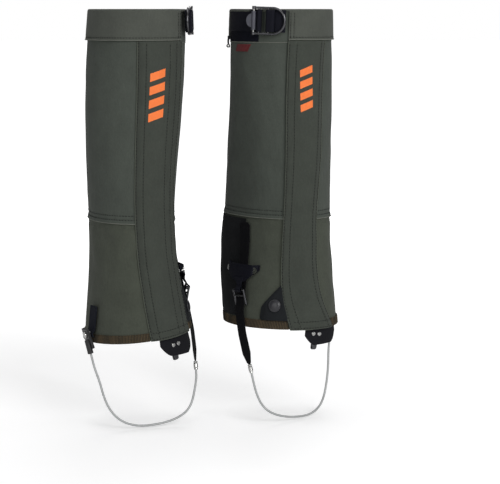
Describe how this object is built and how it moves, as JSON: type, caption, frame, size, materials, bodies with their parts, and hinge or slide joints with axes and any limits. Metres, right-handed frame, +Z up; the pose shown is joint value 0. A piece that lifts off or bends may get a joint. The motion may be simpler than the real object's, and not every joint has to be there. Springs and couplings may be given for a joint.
{
  "type": "gaiter pair",
  "caption": "Pair of tall fabric gaiters with front flap, buckled top strap, snap tab, elastic hem and a webbing and cable stirrup under the instep.",
  "frame": {"origin": "bottom centre of the pair's bounding box, at the lowest point of the stirrup cables", "axes": "+Z up the leg, toes towards -Y, wearer's right gaiter at -X; right gaiter yawed 18 degrees and left gaiter 45 degrees about +Z"},
  "size_m": [0.3382, 0.2163, 0.5449],
  "materials": {
    "leg_fabric": "matte woven",
    "panel_fabric": "matte coarse woven",
    "black_fabric": "matte coated weave",
    "webbing": "ribbed webbing",
    "hem_elastic": "ribbed elastic",
    "hook_and_loop": "napped tape",
    "buckle_metal": "dark satin",
    "bright_metal": "satin",
    "dark_plastic": "satin moulded",
    "cable_coating": "smooth coated cable",
    "red_label": "woven tab"
  },
  "bodies": {
    "right_shell": {"right_upper_panel": "leg_fabric", "right_lower_panel": "panel_fabric", "right_crampon_patch": "black_fabric", "right_top_band": "leg_fabric", "right_flap_sewn_edge": "leg_fabric", "right_panel_loop_tape": "hook_and_loop", "right_under_placket": "black_fabric", "right_hem_elastic": "hem_elastic", "right_snap_stud": "bright_metal", "right_buckle_frame": "buckle_metal", "right_lever_pin": "buckle_metal", "right_strap_anchor": "webbing", "right_side_tab": "red_label", "right_instep_tab": "webbing", "right_rivets": "bright_metal", "right_lateral_tab": "webbing", "right_lace_hook": "bright_metal"},
    "right_flap": {"right_front_flap": "leg_fabric", "right_flap_hook_tape": "hook_and_loop"},
    "right_snap_tab": {"right_snap_tab": "panel_fabric", "right_snap_cap": "dark_plastic", "right_snap_socket": "bright_metal"},
    "right_top_strap": {"right_top_strap": "webbing"},
    "right_buckle_lever": {"right_buckle_lever": "buckle_metal"},
    "right_cord_pull": {"right_cord_pull": "webbing"},
    "right_stirrup": {"right_ladder_buckle": "buckle_metal", "right_cable_fitting": "dark_plastic"},
    "right_stirrup_loop": {"right_instep_strap": "webbing", "right_stirrup_cable": "cable_coating", "right_cable_crimp": "bright_metal"},
    "left_shell": {"left_upper_panel": "leg_fabric", "left_lower_panel": "panel_fabric", "left_crampon_patch": "black_fabric", "left_top_band": "leg_fabric", "left_flap_sewn_edge": "leg_fabric", "left_panel_loop_tape": "hook_and_loop", "left_under_placket": "black_fabric", "left_hem_elastic": "hem_elastic", "left_snap_stud": "bright_metal", "left_buckle_frame": "buckle_metal", "left_lever_pin": "buckle_metal", "left_strap_anchor": "webbing", "left_side_tab": "red_label", "left_instep_tab": "webbing", "left_rivets": "bright_metal", "left_lateral_tab": "webbing", "left_lace_hook": "bright_metal"},
    "left_flap": {"left_front_flap": "leg_fabric", "left_flap_hook_tape": "hook_and_loop"},
    "left_snap_tab": {"left_snap_tab": "panel_fabric", "left_snap_cap": "dark_plastic", "left_snap_socket": "bright_metal"},
    "left_top_strap": {"left_top_strap": "webbing"},
    "left_buckle_lever": {"left_buckle_lever": "buckle_metal"},
    "left_cord_pull": {"left_cord_pull": "webbing"},
    "left_stirrup": {"left_ladder_buckle": "buckle_metal", "left_cable_fitting": "dark_plastic"},
    "left_stirrup_loop": {"left_instep_strap": "webbing", "left_stirrup_cable": "cable_coating", "left_cable_crimp": "bright_metal"}
  },
  "joints": [
    {"name": "right_flap_hinge", "type": "hinge", "parent": "right_shell", "child": "right_flap", "pos_m": [-0.07744, -0.10492, 0.3075], "axis": [0.0334, -0.0168, -0.9993], "range_deg": [0, 110]},
    {"name": "right_snap_tab_hinge", "type": "hinge", "parent": "right_flap", "child": "right_snap_tab", "pos_m": [-0.03309, -0.06237, 0.16], "axis": [0.1753, 0.0063, -0.9845], "range_deg": [0, 100]},
    {"name": "right_top_strap_slide", "type": "slide", "parent": "right_shell", "child": "right_top_strap", "axis": [0.0796, 0.9964, 0.0292], "range_m": [0, 0.005]},
    {"name": "right_buckle_lever_hinge", "type": "hinge", "parent": "right_shell", "child": "right_buckle_lever", "pos_m": [-0.02507, -0.02164, 0.52669], "axis": [0.0295, 0.027, -0.9992], "range_deg": [0, 75]},
    {"name": "right_cord_pull_swing", "type": "hinge", "parent": "right_shell", "child": "right_cord_pull", "pos_m": [-0.05903, 0.03275, 0.50608], "axis": [0.6003, 0.7995, 0.0221], "range_deg": [-20, 20]},
    {"name": "right_stirrup_swing", "type": "hinge", "parent": "right_shell", "child": "right_stirrup", "pos_m": [-0.03279, 0.0048, 0.1737], "axis": [-0.8122, -0.4867, -0.3216], "range_deg": [-6, 3]},
    {"name": "right_stirrup_length", "type": "slide", "parent": "right_stirrup", "child": "right_stirrup_loop", "axis": [-0.2402, 0.024, 0.9704], "range_m": [0, 0.006]},
    {"name": "left_flap_hinge", "type": "hinge", "parent": "left_shell", "child": "left_flap", "pos_m": [0.14225, -0.0424, 0.3075], "axis": [0.0047, 0.0419, 0.9991], "range_deg": [0, 110]},
    {"name": "left_snap_tab_hinge", "type": "hinge", "parent": "left_flap", "child": "left_snap_tab", "pos_m": [0.09566, -0.05075, 0.16], "axis": [-0.1846, 0.1998, 0.9623], "range_deg": [0, 100]},
    {"name": "left_top_strap_slide", "type": "slide", "parent": "left_shell", "child": "left_top_strap", "axis": [-0.9239, 0.3814, 0.0292], "range_m": [0, 0.005]},
    {"name": "left_buckle_lever_hinge", "type": "hinge", "parent": "left_shell", "child": "left_buckle_lever", "pos_m": [0.05576, -0.03977, 0.52669], "axis": [0.0374, 0.014, 0.9992], "range_deg": [0, 75]},
    {"name": "left_cord_pull_swing", "type": "hinge", "parent": "left_shell", "child": "left_cord_pull", "pos_m": [0.02271, 0.01519, 0.50608], "axis": [-0.9849, -0.1719, 0.0221], "range_deg": [-20, 20]},
    {"name": "left_stirrup_swing", "type": "hinge", "parent": "left_shell", "child": "left_stirrup", "pos_m": [0.03571, -0.02089, 0.1737], "axis": [-0.8024, -0.5027, 0.3216], "range_deg": [-6, 3]},
    {"name": "left_stirrup_length", "type": "slide", "parent": "left_stirrup", "child": "left_stirrup_loop", "axis": [0.0877, 0.2249, 0.9704], "range_m": [0, 0.006]},
    {"name": "pair_spacing", "type": "slide", "parent": "right_shell", "child": "left_shell", "axis": [1, 0, 0], "range_m": [0, 0.2]}
  ]
}
